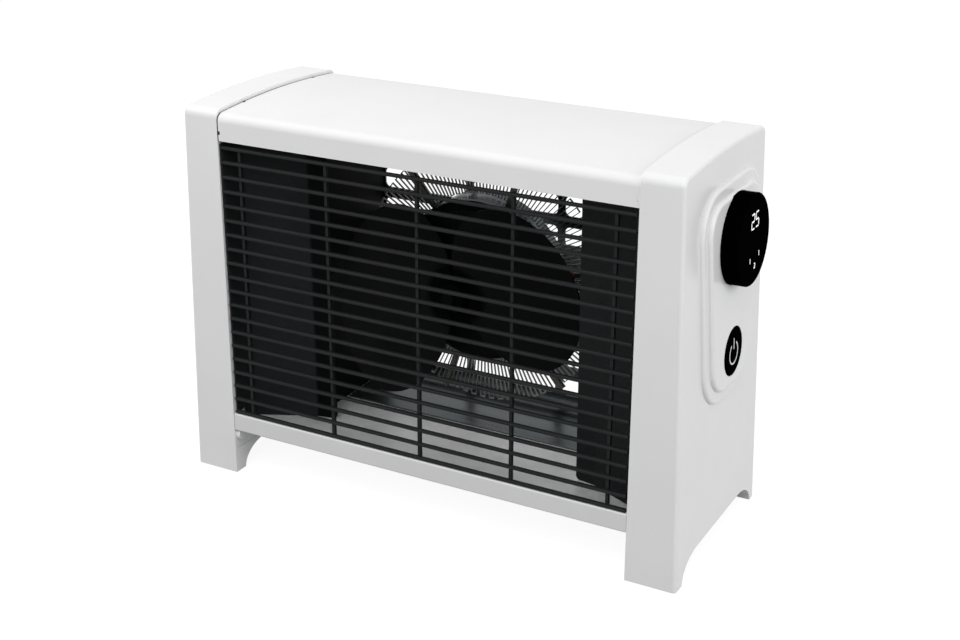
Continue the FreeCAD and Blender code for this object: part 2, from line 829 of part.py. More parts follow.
def element_posts():
    """Spacers between the front and the rear mica arms at their outer ends."""
    posts = []
    for i in range(mica_arms):
        turn = math.radians(mica_arm_turn + i * 360 / mica_arms)
        posts.append(rod(post_radius, mica_front + mica, mica_front + mica + mica_gap,
                         post_circle * math.cos(turn), fan_axis_z + post_circle * math.sin(turn)))
    return Part.makeCompound(posts)


def thermal_cutout():
    """Disc thermostat with a stepped cap on one of the front mica arms."""
    turn = math.radians(mica_arm_turn)
    x = cutout_circle * math.cos(turn)
    z = fan_axis_z + cutout_circle * math.sin(turn)
    back = mica_front
    disc = rod(cutout_radius, back - cutout_height / 2, back, x, z)
    return disc.fuse(rod(cutout_cap_radius, back - cutout_height, back, x, z))


def boss_plate(inset, height, soft):
    """Rounded plate on the side: wide above, narrower below, with a soft outer edge."""
    outline = [Vector(0, boss_y - boss_half_top + inset, boss_top - inset),
               Vector(0, boss_y + boss_half_top - inset, boss_top - inset),
               Vector(0, boss_y + boss_half_bottom - inset, boss_bottom + inset),
               Vector(0, boss_y - boss_half_bottom + inset, boss_bottom + inset)]
    plate = face_of(outline).extrude(Vector(height, 0, 0))
    middle = (boss_top + boss_bottom) / 2
    upper = edges_where(plate, lambda e: runs_along_x(e) and e.BoundBox.ZMin > middle)
    plate = plate.makeFillet(boss_corner_top - inset, upper)
    lower = edges_where(plate, lambda e: runs_along_x(e) and e.BoundBox.ZMax < boss_bottom + inset + 1)
    plate = plate.makeFillet(boss_corner_bottom - inset, lower)
    return plate.makeFillet(soft, edges_where(plate, lambda e: e.BoundBox.XMin > height - 0.01))


def control_boss():
    """Stepped boss with a seat for the dial and a pocket for the power button."""
    boss = boss_plate(0, boss_step, boss_soft).fuse(boss_plate(boss_step_in, boss_height, boss_soft))
    cuts = [local_rod(pod_neck + fit_gap, -1, boss_height + 1, boss_y, dial_z),
            local_rod(dial_radius + dial_float, boss_height - dial_sink, boss_height + 1, boss_y, dial_z),
            local_rod(button_radius + fit_gap, button_floor, boss_height + 1, boss_y, button_z),
            local_rod(stem_radius + run_gap, -1, boss_height, boss_y, button_z)]
    return on_boss(boss.cut(cuts))


def dial_section(points):
    """Solid turned about the dial axis from points given as along, out."""
    face = face_of([Vector(along, boss_y + out, dial_z) for along, out in points])
    return face.revolve(Vector(0, boss_y, dial_z), Vector(1, 0, 0), 360)


def dial_ring():
    """Turning sleeve with an inner rib that runs on the neck of the display pod."""
    back = boss_height - dial_sink + dial_float
    front = boss_height + dial_length
    inner = dial_radius - dial_wall
    rib_back = back + dial_float
    rib_front = rib_back + dial_rib
    bore = pod_neck + run_gap
    ring = dial_section([(back, dial_radius), (front, dial_radius), (front, inner), (rib_front, inner),
                         (rib_front, bore), (rib_back, bore), (rib_back, inner), (back, inner)])
    rim = edges_where(ring, lambda e: e.BoundBox.XMin > front - 0.01 and e.BoundBox.YLength > 2 * inner + 1)
    return on_boss(ring.makeFillet(dial_soft, rim))


def pod_front():
    """Where the display lens rests on the pod."""
    return boss_height + dial_length - lens_setback - lens_thickness


def display_pod():
    """Fixed cup inside the dial on a hollow neck through the boss."""
    shelf = boss_height - dial_sink + 3 * dial_float + dial_rib
    cup = dial_radius - dial_wall - fit_gap
    hollow = pod_neck - pod_wall
    pod = dial_section([(pod_tail, pod_neck), (shelf, pod_neck), (shelf, cup), (pod_front(), cup),
                        (pod_front(), cup - pod_wall), (shelf + pod_floor, cup - pod_wall),
                        (shelf + pod_floor, hollow), (pod_tail, hollow)])
    return on_boss(pod)


def display_board():
    shelf = boss_height - dial_sink + 3 * dial_float + dial_rib + pod_floor
    radius = dial_radius - dial_wall - pod_wall - 2 * fit_gap
    return on_boss(local_rod(radius, shelf, shelf + display_board_thickness, boss_y, dial_z))


def display_lens():
    radius = dial_radius - dial_wall - fit_gap
    return on_boss(local_rod(radius, pod_front(), pod_front() + lens_thickness, boss_y, dial_z))


def display_nut():
    """Ring nut on the tail of the pod, behind the wall of the end panel."""
    front = -end_wall - fit_gap
    nut = local_rod(nut_radius, front - nut_height, front, boss_y, dial_z)
    hole = local_rod(pod_neck + fit_gap, front - 2 * nut_height, front + nut_height, boss_y, dial_z)
    return on_boss(nut.cut(hole))


def power_button():
    """Round cap with a soft rim on a stem that slides through the boss."""
    front = boss_height + button_proud
    cap = local_rod(button_radius, front - button_thickness, front, boss_y, button_z)
    rim = edges_where(cap, lambda e: e.BoundBox.XMin > front - 0.01)
    cap = cap.makeFillet(button_soft, rim)
    return on_boss(cap.fuse(local_rod(stem_radius, stem_end, front - 1, boss_y, button_z)))


def power_switch():
    """Switch block on the control board, just behind the stem's full travel."""
    front = stem_end - button_travel - fit_gap
    half = switch_size / 2
    body = box(board_front, front, boss_y - half, boss_y + half, button_z - half, button_z + half)
    rim = edges_where(body, lambda e: e.BoundBox.XMin > front - 0.01)
    return on_boss(body.makeChamfer(switch_chamfer, rim))


def control_board():
    board = box(board_front - board_thickness, board_front,
                boss_y - board_half_width, boss_y + board_half_width, board_bottom, board_top)
    return on_boss(board.makeFillet(board_corner, edges_where(board, runs_along_x)))


def board_relays():
    """Two relay blocks on the control board between the button and the dial."""
    blocks = []
    for y in (boss_y - relay_spacing / 2, boss_y + relay_spacing / 2):
        block = box(board_front, board_front + relay_height, y - relay_width / 2, y + relay_width / 2,
                    relay_z - relay_length / 2, relay_z + relay_length / 2)
        blocks.append(on_boss(block.makeFillet(relay_soft, edges_where(block, runs_along_x))))
    return Part.makeCompound(blocks)


def cord_gland():
    """Round gland in the rear panel with a bore for the mains cord."""
    flange = rod(gland_flange, rear_face, rear_face + gland_flange_height, gland_x, gland_z)
    rim = edges_where(flange, lambda e: e.BoundBox.YMin > rear_face + gland_flange_height - 0.01)
    flange = flange.makeChamfer(gland_bevel, rim)
    body = rod(gland_body, rear_face - gland_inside, rear_face + 1, gland_x, gland_z)
    outside = rear_face + gland_flange_height + 1
    bore = rod(gland_bore, rear_face - gland_inside - 1, outside, gland_x, gland_z)
    return flange.fuse(body).cut(bore)


def gland_nut():
    """Hexagon nut on the gland, behind the rear panel."""
    back = rear_face - sheet - fit_gap
    corners = [Vector(gland_x + gland_nut_radius * math.cos(math.radians(60 * i)), back - gland_nut_height,
                      gland_z + gland_nut_radius * math.sin(math.radians(60 * i))) for i in range(6)]
    nut = face_of(corners).extrude(Vector(0, gland_nut_height, 0))
    return nut.cut(rod(gland_body + fit_gap, back - gland_nut_height - 1, back + 1, gland_x, gland_z))


def terminal_block():
    """Mains terminals on the floor of the right compartment, with a groove between the ways."""
    x0 = device_x - block_width / 2
    block = box(x0, x0 + block_width, block_y, block_y + block_depth, pan_top, pan_top + block_height)
    way = block_depth / block_ways
    for i in range(1, block_ways):
        y = block_y + i * way
        groove = box(x0 - 1, x0 + block_width + 1, y - block_groove / 2, y + block_groove / 2,
                     pan_top + block_height / 2, pan_top + block_height + 1)
        block = block.cut(groove)
    return block


def tip_switch():
    """Tip-over switch on the floor of the left compartment, with a round well for its weight."""
    x = -device_x
    half = tip_width / 2
    body = box(x - half, x + half, tip_y, tip_y + tip_depth, pan_top, pan_top + tip_height)
    body = body.makeFillet(tip_soft, edges_where(body, lambda e: e.BoundBox.ZLength > 1))
    well = Part.makeCylinder(tip_well, tip_height, Vector(x, tip_y + tip_depth / 2, pan_top + tip_floor))
    return body.cut(well)


def envelope_shift():
    """From the middle of the casing to the middle of its envelope; the dial stands out on the right."""
    lean = math.radians(side_draft)
    out = (boss_height + dial_length) * math.cos(lean) - (dial_z - dial_radius) * math.sin(lean)
    return Vector(-out / 2, 0, 0)


def write(name, shape):
    shape = shape.copy()
    shape.translate(envelope_shift())
    shape.exportStep("parts/%s.step" % name)
    facts = (name, len(shape.Solids), shape.isValid(), shape.Volume)
    print("%-20s solids %d  valid %s  volume %.0f" % facts)


def all_parts():
    shell = end_shell()
    pads = foot_pads(inner_x + end_width / 2, 0)
    yield "left_end_panel", left_of(shell)
    yield "right_end_panel", right_end_panel()
    yield "left_cheek", left_cheek()
    yield "right_cheek", cheek_plate()
    yield "left_foot_pads", Part.makeCompound([left_of(pad) for pad in pads])
    yield "right_foot_pads", Part.makeCompound(pads)
    yield "top_cover", top_cover()
    yield "front_sill", front_sill()
    yield "base_pan", base_pan()
    yield "rear_panel", rear_panel()
    yield "rear_screws", rear_screws()
    yield "front_grille", front_grille()
    yield "left_baffle", left_of(baffle())
    yield "right_baffle", baffle()
    yield "left_chamber_wall", left_of(chamber_wall())
    yield "right_chamber_wall", chamber_wall()
    yield "fan", fan()
    yield "fan_clip", fan_clip()
    yield "motor_shaft", motor_shaft()
    yield "motor_rotor", rotor()
    yield "motor_stator", stator()
    yield "motor_windings", windings()
    yield "motor_front_cap", motor_cap_front()
    yield "motor_rear_cap", motor_cap_rear()
    yield "front_bush", bush(motor_front)
    yield "rear_bush", bush(motor_back - bush_length)
    yield "motor_strap", motor_strap()
    yield "strap_screws", strap_screws()
    yield "motor_shield", motor_shield()
    yield "element_band", element_band()
    yield "front_mica", mica_arms_at(mica_front)
    yield "rear_mica", mica_arms_at(mica_front + mica + mica_gap)
    yield "heating_ribbon", heating_ribbon()
    yield "element_posts", element_posts()
    yield "thermal_cutout", thermal_cutout()
    yield "control_boss", control_boss()
    yield "dial_ring", dial_ring()
    yield "display_pod", display_pod()
    yield "display_board", display_board()
    yield "display_lens", display_lens()
    yield "display_nut", display_nut()
    yield "power_button", power_button()
    yield "power_switch", power_switch()
    yield "control_board", control_board()
    yield "board_relays", board_relays()
    yield "cord_gland", cord_gland()
    yield "gland_nut", gland_nut()
    yield "terminal_block", terminal_block()
    yield "tip_switch", tip_switch()


os.makedirs("parts", exist_ok=True)
for part_name, part_shape in all_parts():
    write(part_name, part_shape)
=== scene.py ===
import json
import math

import bmesh
import bpy
from mathutils import Matrix, Vector
from mathutils.geometry import convex_hull_2d


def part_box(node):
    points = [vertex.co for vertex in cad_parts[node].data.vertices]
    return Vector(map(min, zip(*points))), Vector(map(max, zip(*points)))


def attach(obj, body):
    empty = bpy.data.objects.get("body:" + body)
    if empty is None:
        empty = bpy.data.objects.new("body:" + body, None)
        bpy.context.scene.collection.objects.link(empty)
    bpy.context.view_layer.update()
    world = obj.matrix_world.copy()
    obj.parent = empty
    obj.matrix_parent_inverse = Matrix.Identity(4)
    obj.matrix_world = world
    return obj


# Looks of a portable fan heater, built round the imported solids. Lengths are in metres, turns in degrees.

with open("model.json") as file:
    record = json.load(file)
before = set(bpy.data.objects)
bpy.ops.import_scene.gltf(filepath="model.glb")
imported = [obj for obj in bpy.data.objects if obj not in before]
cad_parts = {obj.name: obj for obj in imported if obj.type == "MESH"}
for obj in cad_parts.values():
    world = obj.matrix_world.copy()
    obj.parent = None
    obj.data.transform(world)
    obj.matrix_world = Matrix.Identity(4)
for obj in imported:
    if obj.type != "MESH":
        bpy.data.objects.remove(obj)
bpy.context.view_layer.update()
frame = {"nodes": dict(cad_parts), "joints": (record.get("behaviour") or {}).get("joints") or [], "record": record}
nodes = frame["nodes"]

# Camera, fitted to the photograph
camera_place = (0.4636, -0.83735, 0.5147)
camera_azimuth = 28.43
camera_elevation = 21.01
camera_lens = 56.88         # millimetres, as the sensor
camera_sensor = 36.0
camera_shift = (-0.00966, -0.0347)

# Light
ambient = 0.50              # level of the surround as light on surfaces
key_power = 6.6             # watts, as the other lamps
key_size = 0.9
key_place = (-0.85, -0.35, 1.15)
fill_power = 14.0
fill_size = 1.0
fill_place = (1.9, 0.0, 0.8)
front_power = 14.8
front_size = 1.2
front_place = (0.25, -1.2, 1.4)
lamp_aim = (0.0, 0.0, 0.2)

# Floor
floor_size = 8.0
floor_colour = 0.30         # for the light that it throws back on the object
floor_seen = 0.20           # as it is seen, which carries the shadow
floor_glow = 0.90           # its own level as it is seen, which keeps it near white

# Finishes
usual_noise = (0.3, 0.7)            # where most values of a noise lie
coated_ior = 1.005                  # of the black display and button
lip_edges = (-0.1155, -0.1138)      # in x, across the rounded lip of the left baffle
lip_shade = 0.2                     # share of the baffle's colour that is left there, as painted shade over the lip
hub_radii = (0.019, 0.024)          # out from the fan's axis
hub_shade = 0.15                    # share of the fan's colour that is left inside

# Print on the display and the button
print_lift = 0.00004                # off the face that it is on
print_depth = 0.00012
digit_height = 0.0093
digit_width = 0.0050
digit_gap = 0.0025
digit_stroke = 0.0009
digit_trim = 0.42                   # share of the stroke by which a bar ends before its corner
digit_place = (0.0015, 0.0121)
sign_size = 0.0032
sign_stroke = 0.0007
left_sign_place = (-0.0057, -0.0122)
right_sign_place = (0.0104, -0.0114)
curl_place = (0.0028, -0.0175)
curl_upper = (-90, 150)             # turns of its two arcs
curl_lower = (90, -210)
curl_steps = 10
power_radius = 0.0072
power_stroke = 0.0011
power_drop = 0.0013                 # of the ring's middle under the button's
power_gap = 34.0                    # either side of the top
power_steps = 40
power_bar = 0.0072
bar_inside = 0.62                   # share of the bar inside the ring
ring_top = 90.0
full_turn = 360.0

# Bars of a digit that is 1 wide and reaches from -1 to 1: from the top clockwise, then the middle one
digit_bars = {
    "a": ((0, 1), (1, 1)), "b": ((1, 1), (1, 0)), "c": ((1, 0), (1, -1)), "d": ((0, -1), (1, -1)),
    "e": ((0, 0), (0, -1)), "f": ((0, 1), (0, 0)), "g": ((0, 0), (1, 0)),
}
two = "abged"
five = "afgcd"

# Crosses of painted shade in place of the recesses of the rear screws
screw_reach = 0.008                 # corners nearer than this are one screw's
cross_half = 0.0017
cross_stroke = 0.0007
cross_turn = 25.0                   # from one screw to the next

# Seams between the top cover and the end panels, with painted shadow in the left one
seam_step = 0.00025
seam_thick = 0.0003
end_tolerance = 0.0001
seam_shadow_span = (0.00022, 0.00085)      # of the painted shadow in the left seam, from the cover's end, out
seam_shadow_sunk = 0.00008
closed_seam = (0.00005, 0.00085)
closed_sunk = 0.00005
notch_fill = (-0.00127, 0.00003)    # of the cover's clip notches, out from its end
notch_half = 0.00128
notch_y = 0.0405                    # of the notches on top
notch_z = 0.2506                    # of the notch in the fascia


def joint(name):
    """Joint of the frame, found by its name."""
    return next(entry for entry in frame["joints"] if entry["name"] == name)


# Nodes of a material

def add(tree, kind, settings=None, **values):
    """New node with its properties from settings and its inputs from values, where _ stands for a space."""
    made = tree.nodes.new(kind)
    for name, value in (settings or {}).items():
        setattr(made, name, value)
    for name, value in values.items():
        made.inputs[name.replace("_", " ")].default_value = value
    return made


def start(name):
    """Material with a principled shader, and the place on its surface."""
    material = bpy.data.materials.new(name)
    material.use_nodes = True
    tree = material.node_tree
    return material, tree, tree.nodes["Principled BSDF"], surface_place(tree)


def surface_place(tree):
    """Place on the surface, as it is in the frame at rest."""
    return add(tree, "ShaderNodeTexCoord").outputs["Object"]


def feed(tree, shader, **sources):
    """Links outputs to inputs of the shader, where _ stands for a space."""
    for name, source in sources.items():
        tree.links.new(source, shader.inputs[name.replace("_", " ")])


def grey(level):
    return (level, level, level)


def rgba(colour):
    return (*colour, 1.0)


def noise(tree, place, scale, detail=3.0):
    made = add(tree, "ShaderNodeTexNoise", Scale=scale, Detail=detail, Roughness=0.55)
    tree.links.new(place, made.inputs["Vector"])
    return made.outputs["Fac"]


def cells(tree, place, scale):
    """Brightness that is even over each cell and differs from one to the next."""
    made = add(tree, "ShaderNodeTexVoronoi", Scale=scale)
    tint = add(tree, "ShaderNodeRGBToBW")
    tree.links.new(place, made.inputs["Vector"])
    tree.links.new(made.outputs["Color"], tint.inputs["Color"])
    return tint.outputs["Val"]


def drawn_out(tree, place, factors):
    """Coordinates scaled per axis, so that a pattern is drawn out along the axes with small factors."""
    made = add(tree, "ShaderNodeMapping", Scale=factors)
    tree.links.new(place, made.inputs["Vector"])
    return made.outputs["Vector"]


def ramp(tree, value, dark, light, edges=usual_noise):
    """Colour from dark to light as a value crosses two edges."""
    made = add(tree, "ShaderNodeValToRGB")
    first, last = made.color_ramp.elements
    first.position, last.position = edges
    first.color = rgba(dark)
    last.color = rgba(light)
    tree.links.new(value, made.inputs["Fac"])
    return made.outputs["Color"]


def between(tree, value, low, high, edges=usual_noise):
    """Number from low to high as a value crosses two edges."""
    made = add(tree, "ShaderNodeMapRange", From_Min=edges[0], From_Max=edges[1], To_Min=low, To_Max=high)
    tree.links.new(value, made.inputs["Value"])
    return made.outputs["Result"]


def bump(tree, shader, height, depth):
    made = add(tree, "ShaderNodeBump", Strength=1.0, Distance=depth)
    tree.links.new(height, made.inputs["Height"])
    tree.links.new(made.outputs["Normal"], shader.inputs["Normal"])


def grained(name, dark, light, patch, rough, grain, depth, metallic=0.0, specular=0.5):
    """Finish whose colour and roughness drift over patches, with a fine grain as relief."""
    material, tree, shader, place = start(name)
    drift = noise(tree, place, patch)
    feed(tree, shader, Base_Color=ramp(tree, drift, dark, light), Roughness=between(tree, drift, *rough))
    shader.inputs["Metallic"].default_value = metallic
    shader.inputs["Specular IOR Level"].default_value = specular
    bump(tree, shader, noise(tree, place, grain, detail=2.0), depth)
    return material


def turned(name, dark, light, rough, rings):
    """Metal with fine bands one behind the other in y, which run round a shaft."""
    material, tree, shader, place = start(name)
    bands = add(tree, "ShaderNodeTexWave", {"wave_type": "BANDS", "bands_direction": "Y"},
                Scale=rings, Distortion=1.5, Detail=2.0)
    tree.links.new(place, bands.inputs["Vector"])
    wave = bands.outputs["Fac"]
    feed(tree, shader, Base_Color=ramp(tree, wave, dark, light, edges=(0.1, 0.9)),
         Roughness=between(tree, noise(tree, place, 200), *rough))
    shader.inputs["Metallic"].default_value = 1.0
    bump(tree, shader, wave, 0.00001)
    return material


def darker(material, share):
    """Scales the colour of a finish by what share makes, which depends on the place."""
    tree = material.node_tree
    shader = tree.nodes["Principled BSDF"]
    scaled = add(tree, "ShaderNodeVectorMath", {"operation": "SCALE"})
    tree.links.new(shader.inputs["Base Color"].links[0].from_socket, scaled.inputs[0])
    tree.links.new(share(tree), scaled.inputs["Scale"])
    feed(tree, shader, Base_Color=scaled.outputs["Vector"])
    return material


def faint_gloss(material):
    """Takes a finish down to a thin gloss, as under an anti-reflection coat."""
    material.node_tree.nodes["Principled BSDF"].inputs["IOR"].default_value = coated_ior
    return material


# Materials for the slots of the record

def white_plastic():
    return grained("white_plastic", dark=(0.745, 0.745, 0.750), light=(0.770, 0.770, 0.775), patch=18,
                   rough=(0.18, 0.24), grain=2600, depth=0.000002, specular=0.25)


def white_paint():
    return grained("white_paint", dark=grey(0.740), light=grey(0.765), patch=25,
                   rough=(0.40, 0.48), grain=900, depth=0.00001, specular=0.15)


def galvanised():
    """Zinc spangles: cells of slightly different brightness and gloss."""
    material, tree, shader, place = start("galvanised")
    tint = cells(tree, place, 110)
    shade = ramp(tree, tint, dark=(0.92, 0.94, 0.93), light=(0.985, 0.99, 0.987))
    feed(tree, shader, Base_Color=shade, Roughness=between(tree, tint, low=0.32, high=0.42))
    shader.inputs["Metallic"].default_value = 0.15
    bump(tree, shader, noise(tree, place, 300, detail=4.0), 0.000015)
    return material


def bare_steel():
    """Rolled dull sheet with faint streaks along x."""
    material, tree, shader, place = start("bare_steel")
    streaks = noise(tree, drawn_out(tree, place, (12, 500, 500)), 1.0, detail=4.0)
    shade = ramp(tree, streaks, dark=(0.082, 0.095, 0.099), light=(0.112, 0.126, 0.131))
    feed(tree, shader, Base_Color=shade, Roughness=between(tree, streaks, low=0.26, high=0.36))
    shader.inputs["Metallic"].default_value = 0.9
    bump(tree, shader, streaks, 0.000008)
    return material


def black_paint():
    return grained("black_paint", dark=(0.009, 0.010, 0.0105), light=(0.013, 0.014, 0.0145), patch=30,
                   rough=(0.48, 0.58), grain=1500, depth=0.00002, specular=0.12)


def hub_share(tree):
    """1 on the fan's wings, and less at its hub."""
    axis = joint("fan_spin")["pos_m"]
    flat = add(tree, "ShaderNodeVectorMath", {"operation": "MULTIPLY"})
    flat.inputs[1].default_value = (1, 0, 1)
    tree.links.new(surface_place(tree), flat.inputs[0])
    away = add(tree, "ShaderNodeVectorMath", {"operation": "DISTANCE"})
    away.inputs[1].default_value = (axis[0], 0, axis[2])
    tree.links.new(flat.outputs["Vector"], away.inputs[0])
    return between(tree, away.outputs["Value"], low=hub_shade, high=1.0, edges=hub_radii)


def fan_black():
    """Black of the fan, deeper at its hub."""
    made = grained("fan_black", dark=grey(0.0068), light=grey(0.0104), patch=22,
                   rough=(0.35, 0.45), grain=1800, depth=0.00001, specular=0.01)
    return darker(made, hub_share)


def steel():
    return turned("steel", dark=(0.46, 0.46, 0.47), light=(0.58, 0.58, 0.59),
                  rough=(0.24, 0.34), rings=700)


def laminations():
    return turned("laminations", dark=(0.20, 0.21, 0.22), light=(0.36, 0.37, 0.38),
                  rough=(0.38, 0.5), rings=320)


def copper_wire():
    return turned("copper_wire", dark=(0.45, 0.16, 0.06), light=(0.62, 0.27, 0.12),
                  rough=(0.25, 0.35), rings=200)


def die_cast():
    return grained("die_cast", dark=(0.46, 0.47, 0.48), light=(0.58, 0.59, 0.60), patch=60,
                   rough=(0.42, 0.55), grain=700, depth=0.00004, metallic=1.0)


def bronze():
    return grained("bronze", dark=(0.42, 0.27, 0.10), light=(0.56, 0.38, 0.16), patch=400,
                   rough=(0.35, 0.5), grain=2000, depth=0.00003, metallic=1.0)


def mica_sheet():
    """Pressed flakes in grey brown."""
    material, tree, shader, place = start("mica")
    tint = cells(tree, place, 260)
    shade = ramp(tree, tint, dark=(0.055, 0.052, 0.045), light=(0.095, 0.09, 0.075))
    feed(tree, shader, Base_Color=shade, Roughness=between(tree, tint, low=0.32, high=0.5))
    bump(tree, shader, tint, 0.00003)
    return material


def resistance_alloy():
    """Oxidised strip, drifting between two warm greys."""
    return grained("resistance_alloy", dark=(0.12, 0.115, 0.11), light=(0.24, 0.235, 0.23), patch=120,
                   rough=(0.35, 0.48), grain=900, depth=0.00002, metallic=0.6)


def brown_plastic():
    return grained("brown_plastic", dark=(0.16, 0.035, 0.018), light=(0.24, 0.055, 0.028), patch=300,
                   rough=(0.35, 0.5), grain=1500, depth=0.00002)


def gloss_black():
    made = grained("gloss_black", dark=grey(0.0003), light=grey(0.0005), patch=60,
                   rough=(0.12, 0.18), grain=3000, depth=0.000003)
    return faint_gloss(made)


def lens_black():
    made = grained("lens_black", dark=grey(0.0002), light=grey(0.0004), patch=60,
                   rough=(0.06, 0.09), grain=3000, depth=0.000002)
    return faint_gloss(made)


def black_plastic():
    return grained("black_plastic", dark=grey(0.0010), light=grey(0.0018), patch=50,
                   rough=(0.42, 0.55), grain=1600, depth=0.00003, specular=0.03)


def circuit_board():
    """Green solder mask with lighter copper runs under it."""
    material, tree, shader, place = start("circuit_board")
    upright = add(tree, "ShaderNodeMapping", Rotation=(0, math.pi / 2, 0))
    tree.links.new(place, upright.inputs["Vector"])
    runs = add(tree, "ShaderNodeTexBrick", {"offset": 0.35}, Scale=60, Mortar_Size=0.06, Brick_Width=0.9,
               Row_Height=0.12, Color1=rgba((0.010, 0.060, 0.024)), Color2=rgba((0.014, 0.075, 0.030)),
               Mortar=rgba((0.030, 0.130, 0.055)))
    tree.links.new(upright.outputs["Vector"], runs.inputs["Vector"])
    feed(tree, shader, Base_Color=runs.outputs["Color"],
         Roughness=between(tree, noise(tree, place, 90), low=0.28, high=0.4))
    bump(tree, shader, runs.outputs["Fac"], 0.00002)
    return material


def rubber():
    return grained("rubber", dark=grey(0.016), light=grey(0.03), patch=90,
                   rough=(0.7, 0.85), grain=1400, depth=0.00004)


# Materials for single pieces

def painted_shade_black():
    """Matt black, darker than the black paint, for the chamber walls and the shield: painted shade deep in the
    casing.
    """
    return grained("painted_shade_black", dark=grey(0.003), light=grey(0.005), patch=30,
                   rough=(0.6, 0.7), grain=1500, depth=0.00002, specular=0.05)


# Greyer copy of the white paint for the sill, as painted shade on its front.
def sill_painted_shade():
    return grained("sill_painted_shade", dark=grey(0.645), light=grey(0.670), patch=25,
                   rough=(0.34, 0.42), grain=900, depth=0.00001)


def lip_painted_shade(tree):
    """1 on the left baffle's slope, and less over its rounded lip, where it paints shade."""
    split = add(tree, "ShaderNodeSeparateXYZ")
    tree.links.new(surface_place(tree), split.inputs["Vector"])
    return between(tree, split.outputs["X"], low=1.0, high=lip_shade, edges=lip_edges)


def baffle_black():
    """Black of the left baffle, with painted shade over its rounded lip."""
    made = grained("baffle_black", dark=(0.022, 0.024, 0.025), light=(0.028, 0.030, 0.031), patch=30,
                   rough=(0.48, 0.58), grain=1500, depth=0.00002, specular=0.02)
    return darker(made, lip_painted_shade)


def display_light():
    """Lit display strokes, a little uneven."""
    material, tree, shader, place = start("display_light")
    glow = ramp(tree, noise(tree, place, 500), dark=(0.80, 0.82, 0.84), light=(0.92, 0.93, 0.94))
    feed(tree, shader, Base_Color=glow, Emission_Color=glow,
         Roughness=between(tree, noise(tree, place, 300), low=0.3, high=0.4))
    shader.inputs["Emission Strength"].default_value = 0.45
    return material


def symbol_print():
    return grained("symbol_print", dark=grey(0.62), light=grey(0.72), patch=400,
                   rough=(0.4, 0.5), grain=2500, depth=0.000006)


# Dark grey that paints the shade in the cross recesses of the screws.
def recess_painted_shade():
    return grained("recess_painted_shade", dark=(0.018, 0.018, 0.019), light=(0.032, 0.032, 0.034), patch=900,
                   rough=(0.4, 0.5), grain=2500, depth=0.000006, metallic=0.5)


makers = {
    "white_plastic": white_plastic, "white_paint": white_paint, "galvanised": galvanised,
    "bare_steel": bare_steel, "black_paint": black_paint, "fan_black": fan_black, "steel": steel,
    "laminations": laminations, "copper_wire": copper_wire, "die_cast": die_cast, "bronze": bronze,
    "mica": mica_sheet, "resistance_alloy": resistance_alloy, "brown_plastic": brown_plastic,
    "gloss_black": gloss_black, "lens_black": lens_black, "black_plastic": black_plastic,
    "circuit_board": circuit_board, "rubber": rubber,
}
materials = {slot: make() for slot, make in makers.items()}


def dress_nodes():
    """Gives every solid the finish of its slot in the record, or one of its own."""
    # The chamber walls and the shield get a darker black, the sill a greyer white and the left baffle a darker
    # lip: all painted shade.
    walls = painted_shade_black()
    special = {"left_chamber_wall": walls, "right_chamber_wall": walls, "motor_shield": walls,
               "front_sill": sill_painted_shade(), "left_baffle": baffle_black()}
    for part in frame["record"]["subparts"]:
        mesh = nodes[part["node"]].data
        mesh.materials.clear()
        mesh.materials.append(special.get(part["node"], materials[part["material_slot"]]))


# Thin pieces made of strokes and bands

def heading(points, i):
    """Direction of a line of points at one of them."""
    before = points[max(i - 1, 0)]
    after = points[min(i + 1, len(points) - 1)]
    return (after - before).normalized()


def join_rings(mesh, rings):
    """Closed skin over rings of four corners."""
    for one, other in zip(rings, rings[1:]):
        for i in range(4):
            j = (i + 1) % 4
            mesh.faces.new((one[i], one[j], other[j], other[i]))
    mesh.faces.new(rings[0][::-1])
    mesh.faces.new(rings[-1])


def add_stroke(mesh, points, width):
    """Thin raised bar along flat points, with square ends."""
    rings = []
    for i, point in enumerate(points):
        along = heading(points, i)
        side = Vector((-along.y, along.x)) * width / 2
        left = point + side
        right = point - side
        corners = ((left, 0), (right, 0), (right, print_depth), (left, print_depth))
        rings.append([mesh.verts.new((p.x, p.y, z)) for p, z in corners])
    join_rings(mesh, rings)


def arc(centre, radius, first, last, steps):
    """Points on an arc, whose turns start from the right-hand side."""
    turns = [math.radians(first + (last - first) * i / steps) for i in range(steps + 1)]
    return [centre + Vector((math.cos(t), math.sin(t))) * radius for t in turns]


def finished(mesh, name, material, body, place=Matrix.Identity(4)):
    """Piece made of a mesh, dressed and set on a body."""
    bmesh.ops.recalc_face_normals(mesh, faces=mesh.faces)
    data = bpy.data.meshes.new(name)
    mesh.to_mesh(data)
    mesh.free()
    data.transform(place)
    data.materials.append(material)
    piece = bpy.data.objects.new(name, data)
    bpy.context.scene.collection.objects.link(piece)
    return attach(piece, body)


# Symbols on the leaning right side

side_out = Vector(joint("dial_turn")["axis"]).normalized()
side_across = Vector((0, 1, 0))
side_up = side_out.cross(side_across)


def face_frame(node):
    """Frame on the outer face of a round piece on the side: across, up and outwards."""
    low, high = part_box(node)
    centre = (low + high) / 2
    face = max(vertex.co.dot(side_out) for vertex in nodes[node].data.vertices)
    origin = centre + side_out * (face - centre.dot(side_out))
    turn = Matrix((side_across, side_up, side_out)).transposed().to_4x4()
    return Matrix.Translation(origin) @ turn


def symbol(name, strokes, node, material, body):
    """Piece made of strokes, each a list of flat points and a width, on the face of a node."""
    mesh = bmesh.new()
    for points, width in strokes:
        add_stroke(mesh, points, width)
    place = face_frame(node) @ Matrix.Translation((0, 0, print_lift))
    return finished(mesh, name, material, body, place)


def digit(bars, left):
    """Strokes of a digit from its left edge, on the number's middle line."""
    strokes = []
    for bar in bars:
        first, last = [Vector(digit_place) + Vector((left + x * digit_width, y * digit_height / 2))
                       for x, y in digit_bars[bar]]
        trim = (last - first).normalized() * digit_stroke * digit_trim
        strokes.append(([first + trim, last - trim], digit_stroke))
    return strokes


